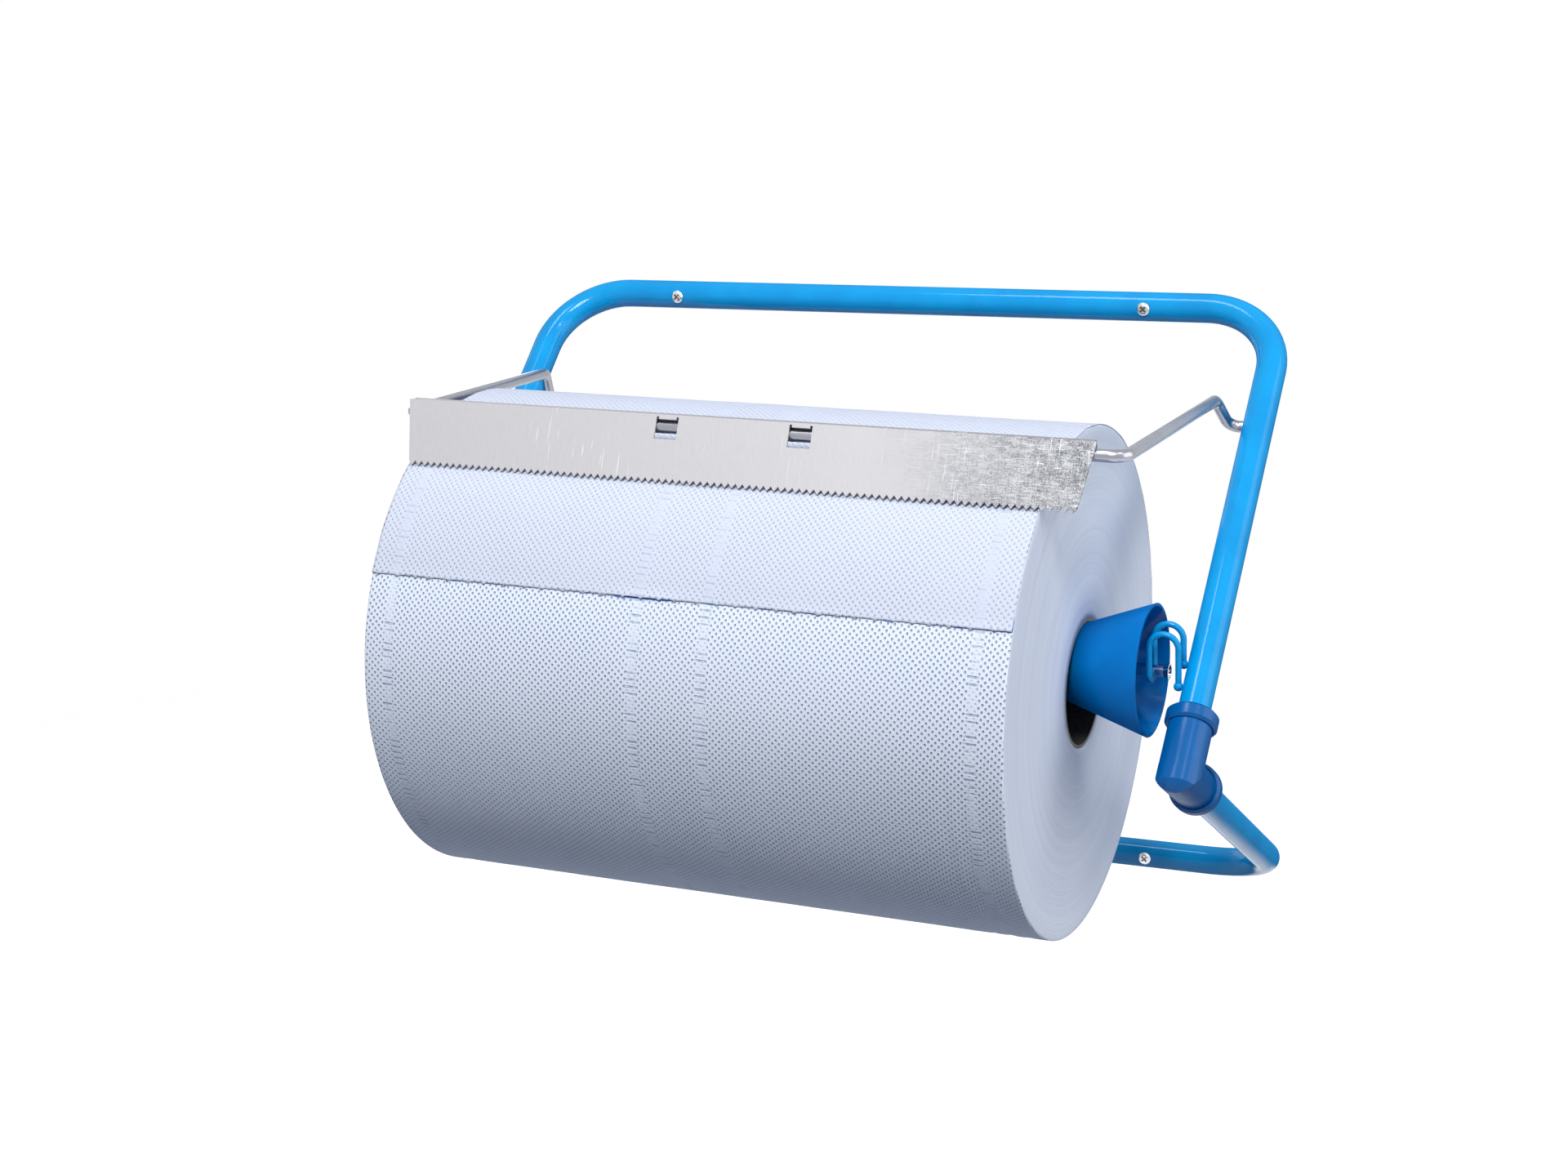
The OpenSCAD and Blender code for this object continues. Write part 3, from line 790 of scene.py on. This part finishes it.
def makeSheet():
    half = roll["length"] / 2 - sheet["inset"]
    inner = roll["radius"] + sheet["rise"]
    bm = bmesh.new()
    ends = [bm.verts.new(spotAt(x, inner, sheet["tearTurn"])) for x in (-half, half)]
    edge = bm.edges.new(ends)
    bmesh.ops.subdivide_edges(bm, edges=[edge], cuts=sheet["cuts"])
    first = bmesh.ops.spin(bm, geom=bm.verts[:] + bm.edges[:], cent=(0, 0, 0), axis=(-1, 0, 0),
                           angle=sheet["fineTurn"], steps=sheet["fineSteps"])
    bmesh.ops.spin(bm, geom=first["geom_last"], cent=(0, 0, 0), axis=(-1, 0, 0),
                   angle=sheet["endTurn"] - sheet["tearTurn"] - sheet["fineTurn"], steps=sheet["steps"])
    bmesh.ops.remove_doubles(bm, verts=bm.verts, dist=hair)
    step = 2 * half / (sheet["cuts"] + 1)
    reach = tornEdge(sheet["cuts"] + 2)
    around, along = sheet["sideWaves"]
    for vert in bm.verts:
        radius, turn = polar(vert.co)
        turn = turn % tau
        x = vert.co.x
        arc = (turn - sheet["tearTurn"]) * inner
        radius += waver(x, turn)
        if arc < sheet["edgeBand"]:
            turn -= reach[round((x + half) / step)] / inner
        radius += edgeLift(x) * max(0.0, 1 - arc / sheet["liftWidth"]) ** 2
        sunk = max(0.0, turn - sheet["endTurn"] + sheet["sink"]) / sheet["sink"]
        radius -= sheet["sinkRises"] * sheet["rise"] * sunk ** 2
        if abs(x) > half - sheet["edgeBand"]:
            x += sheet["sideWaver"] * noise.noise((turn * around, x * along, 0.0))
        vert.co = spotAt(x, radius, turn)
    bmesh.ops.recalc_face_normals(bm, faces=bm.faces)
    outward = sum(face.normal.dot(spotAt(0, 1, polar(face.calc_center_median())[1])) for face in bm.faces)
    if outward < 0:
        bmesh.ops.reverse_faces(bm, faces=bm.faces)
    bmesh.ops.solidify(bm, geom=bm.faces[:], thickness=-sheet["thick"])
    unroll(bm)
    piece = finishPiece(bm, "outerSheet", (looseSheet,), rollPlace)
    2 * half
    (sheet["endTurn"] - sheet["tearTurn"]) * inner
    return piece


woundRoll = makeRoll()
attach(woundRoll, "roll")
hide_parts("paper_roll")
outerSheet = makeSheet()
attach(outerSheet, "roll")
print("roll and outer sheet made:", len(woundRoll.data.polygons), len(outerSheet.data.polygons), "faces")


# floor, light and camera

studio = {
    "floorHeight": -0.9,
    "floorRadius": 3.2,
    "floorSides": 96,
    "floorFade": (0.45, 0.97),      # shares of the radius between which the floor runs out
    "floorTone": linear(246, 246, 247),
    "floorGlow": 0.63,              # seen by camera, glossy and see-through rays only
    "bounceTone": linear(160, 164, 175),
    "sky": 0.14,
    "skyTone": (0.82, 0.93, 1.12, 1.0),
    "skySlope": (-0.3, 0.6),
    "skyLow": 0.12,
    "white": (1, 1, 1, 1),
    "aim": (0.0, -0.2, 0.0),
}


def seenOnly(f):  # camera, glossy and see-through rays
    path = [f.node("ShaderNodeLightPath", output=name)
            for name in ("Is Camera Ray", "Is Glossy Ray", "Is Transmission Ray")]
    total = path[0] + path[1] + path[2]
    return total.maths("MINIMUM", total, 1.0)


def floorFinish():
    material, f = newFinish("paleFloor")
    middle = f.turned(f.place(), move=(0, 0, -studio["floorHeight"]))
    out = f.node("ShaderNodeVectorMath", {"operation": "LENGTH"}, {0: middle}, "Value")
    seen = seenOnly(f)
    tone = f.tint(seen, studio["bounceTone"], studio["floorTone"])
    pale = f.node("ShaderNodeBsdfDiffuse", {}, {"Color": tone})
    glow = f.node("ShaderNodeEmission", {}, {"Strength": seen * studio["floorGlow"]})
    pale = f.node("ShaderNodeAddShader", {}, {0: pale, 1: glow})
    clear = f.node("ShaderNodeBsdfTransparent")
    rim = f.ease(out, *(share * studio["floorRadius"] for share in studio["floorFade"]))
    mixed = f.node("ShaderNodeMixShader", {}, {0: rim, 1: pale, 2: clear})
    f.node("ShaderNodeOutputMaterial", {}, {"Surface": mixed})
    return material


def makeFloor():
    bm = bmesh.new()
    bmesh.ops.create_circle(bm, cap_ends=True, segments=studio["floorSides"], radius=studio["floorRadius"])
    bmesh.ops.translate(bm, verts=bm.verts, vec=(0, 0, studio["floorHeight"]))
    floor = finishPiece(bm, "floor", (floorFinish(),), Matrix.Identity(4))


def makeSky():
    world = bpy.data.worlds.new("studioSky")
    scene.world = world
    world.use_nodes = True
    f = Finish(world.node_tree)
    up = f.part(f.place("Generated"), "Z")
    dome = f.ease(up, *studio["skySlope"], studio["skyLow"], 1.0) * studio["sky"]
    seen = seenOnly(f)
    shine = f.node("ShaderNodeBackground", {}, {
        "Color": f.tint(seen, studio["skyTone"], studio["white"]), "Strength": dome + (1 - dome) * seen})
    f.node("ShaderNodeOutputWorld", {}, {"Surface": shine})


lamps = {                           # power in watts, size and place in metres
    "key": (44.0, 0.7, (0.27, -1.72, 1.84)),
    "fill": (40.0, 2.6, (2.60, -0.05, 0.70)),
    "spark": (6.5, 0.4, (-0.35, -0.55, 1.90)),   # small ones, for the bright lines on paint and plastic
    "rim": (4.5, 0.3, (1.15, -0.75, 1.72)),
    "glint": (1.2, 0.12, (0.50, -1.45, 1.45)),
    "back": (30.0, 2.2, (-2.20, 1.60, 0.40)),
}


def makeLamp(name, power, size, place):
    lamp = bpy.data.lights.new(name, "AREA")
    lamp.energy = power
    lamp.shape = "SQUARE"
    lamp.size = size
    holder = bpy.data.objects.new(name, lamp)
    scene.collection.objects.link(holder)
    holder.location = place
    holder.rotation_euler = (Vector(studio["aim"]) - Vector(place)).to_track_quat("-Z", "Y").to_euler()


view = {
    "place": (0.5699, -1.5239, 0.4378),
    "yaw": math.radians(23.66),
    "pitch": math.radians(15.40),
    "roll": math.radians(-2.38),
    "focalPixels": 3111.7,
    "widthPixels": 1920,
    "sensor": 36,
    "farthest": 50,
}


def makeCamera():
    yaw, pitch, tilt = view["yaw"], view["pitch"], view["roll"]
    right = Vector((math.cos(yaw), math.sin(yaw), 0))
    ahead = Vector((-math.sin(yaw) * math.cos(pitch), math.cos(yaw) * math.cos(pitch), -math.sin(pitch)))
    up = right.cross(ahead)
    across = math.cos(tilt) * right + math.sin(tilt) * up
    upward = -math.sin(tilt) * right + math.cos(tilt) * up
    facing = Matrix((across, upward, -ahead)).transposed().to_4x4()
    data = bpy.data.cameras.new("photoView")
    data.sensor_fit = "HORIZONTAL"
    data.sensor_width = view["sensor"]
    data.lens = view["focalPixels"] * view["sensor"] / view["widthPixels"]
    data.clip_end = view["farthest"]
    camera = bpy.data.objects.new("photoView", data)
    scene.collection.objects.link(camera)
    camera.matrix_world = Matrix.Translation(view["place"]) @ facing
    scene.camera = camera


makeFloor()
makeSky()
for name, lamp in lamps.items():
    makeLamp(name + "Light", *lamp)
makeCamera()
scene.view_settings.view_transform = "Standard"
print("stage set")
